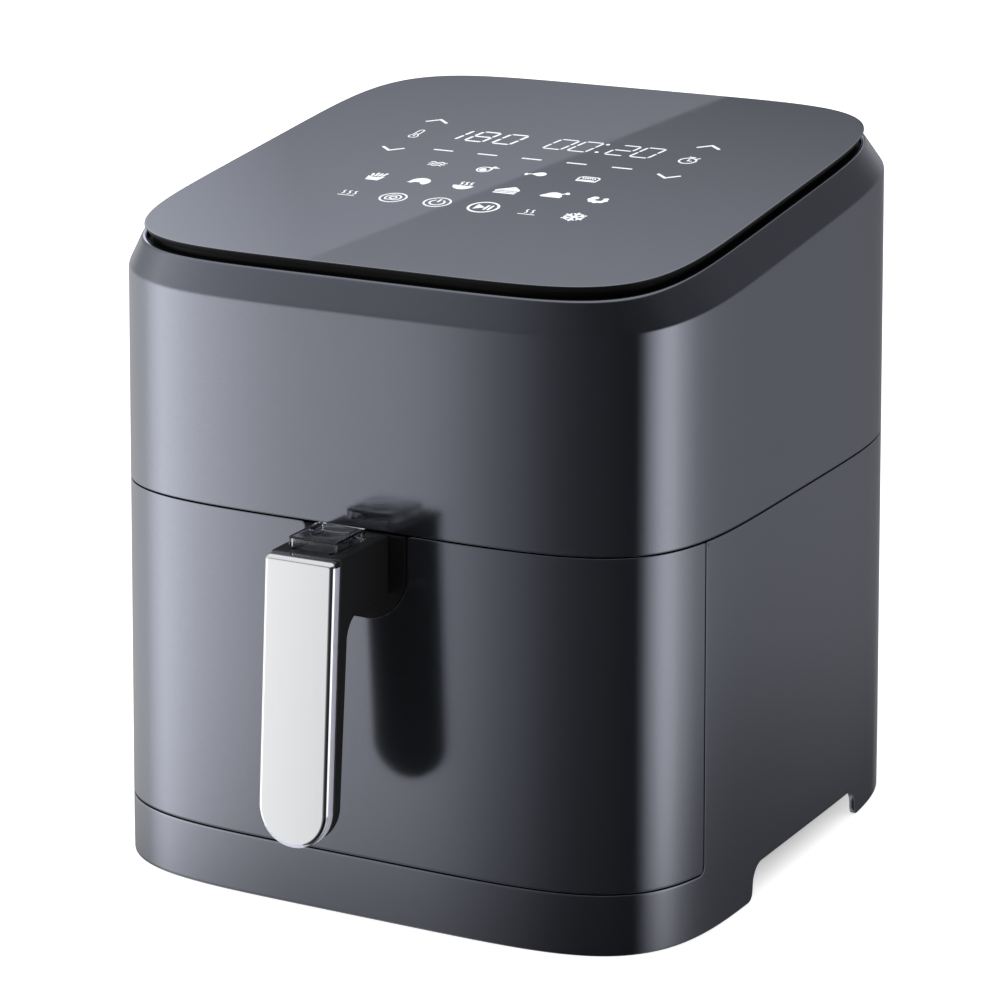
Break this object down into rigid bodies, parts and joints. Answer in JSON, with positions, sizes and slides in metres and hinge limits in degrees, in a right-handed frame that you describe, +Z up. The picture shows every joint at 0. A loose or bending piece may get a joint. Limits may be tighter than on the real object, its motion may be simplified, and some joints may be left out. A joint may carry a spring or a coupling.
{
  "type": "countertop air fryer",
  "caption": "Countertop hot-air fryer with a sloped glass touch panel and a front drawer whose handle carries a sliding guard over a basket release button.",
  "frame": {"origin": "middle of the bounding box's footprint, on the surface that the rubber feet stand on", "axes": "+Z up, the drawer and its handle face -Y, +X points to the right in a view from the front"},
  "size_m": [0.2742, 0.3328, 0.3037],
  "materials": {
    "body_paint": "semi-gloss metallic grey lacquer",
    "panel_glass": "dark glossy printed glass",
    "black_plastic": "fine-textured black",
    "chrome_plate": "bright polished",
    "clear_plastic": "clear, polished",
    "nonstick": "dark speckled non-stick coating",
    "sheet_steel": "plain rolled sheet",
    "rubber": "matt",
    "circuit_board": "green solder mask",
    "fastener_steel": "zinc plated",
    "element_steel": "heat-darkened tube"
  },
  "bodies": {
    "housing": {"upper_housing": "body_paint", "lower_housing": "body_paint", "touch_glass": "panel_glass", "base_plate": "black_plastic", "cord_gland": "black_plastic", "panel_tray": "black_plastic", "segment_display": "black_plastic", "opening_frame": "black_plastic", "drawer_rail_right": "black_plastic", "drawer_rail_left": "black_plastic", "rear_grille": "black_plastic", "drawer_switch": "black_plastic", "chamber_liner": "sheet_steel", "chamber_deck": "sheet_steel", "heater_dome": "sheet_steel", "heater_guard": "sheet_steel", "exhaust_duct": "sheet_steel", "motor": "sheet_steel", "motor_bracket": "sheet_steel", "temperature_sensor": "sheet_steel", "thermal_fuse": "sheet_steel", "foot_front_left": "rubber", "foot_front_right": "rubber", "foot_rear_left": "rubber", "foot_rear_right": "rubber", "display_board": "circuit_board", "control_board": "circuit_board", "power_board": "circuit_board", "base_screw_1": "fastener_steel", "base_screw_2": "fastener_steel", "base_screw_3": "fastener_steel", "base_screw_4": "fastener_steel", "motor_screw_1": "fastener_steel", "motor_screw_2": "fastener_steel", "heater_coil": "element_steel"},
    "drawer": {"drawer_front": "body_paint", "drawer_frame": "black_plastic", "pan": "nonstick", "pan_screw_left": "fastener_steel", "pan_screw_right": "fastener_steel", "latch_catch": "fastener_steel", "basket": "nonstick", "basket_bracket": "sheet_steel", "bracket_rivet_1": "fastener_steel", "bracket_rivet_2": "fastener_steel", "handle_boss": "black_plastic", "handle_grip": "black_plastic", "handle_plate": "chrome_plate", "handle_screw_1": "fastener_steel", "handle_screw_2": "fastener_steel", "latch_pin": "fastener_steel", "latch_spring": "fastener_steel"},
    "fan_rotor": {"convection_fan": "sheet_steel", "cooling_fan": "black_plastic", "fan_shaft": "fastener_steel", "fan_nut": "fastener_steel"},
    "guard": {"button_guard": "clear_plastic"},
    "button": {"release_button": "black_plastic"},
    "latch": {"latch_lever": "black_plastic"}
  },
  "joints": [
    {"name": "drawer_slide", "type": "slide", "parent": "housing", "child": "drawer", "axis": [0, -1, 0], "range_m": [0, 0.195]},
    {"name": "fan_spin", "type": "hinge", "parent": "housing", "child": "fan_rotor", "pos_m": [0, 0.0256, 0.2], "axis": [0, 0, 1], "continuous": true},
    {"name": "guard_slide", "type": "slide", "parent": "drawer", "child": "guard", "axis": [0, -1, 0], "range_m": [0, 0.014]},
    {"name": "button_press", "type": "slide", "parent": "drawer", "child": "button", "axis": [0, 0, -1], "range_m": [0, 0.003], "stiffness_N_per_m": 400, "springref_m": -0.002},
    {"name": "latch_turn", "type": "hinge", "parent": "drawer", "child": "latch", "pos_m": [0, -0.1089, 0.15], "axis": [1, 0, 0], "range_deg": [0, 8.3], "deforming": ["latch_spring"]}
  ],
  "couplings": [
    {"joint": "latch_turn", "follows": "button_press", "rad_per_m": 47.6}
  ]
}
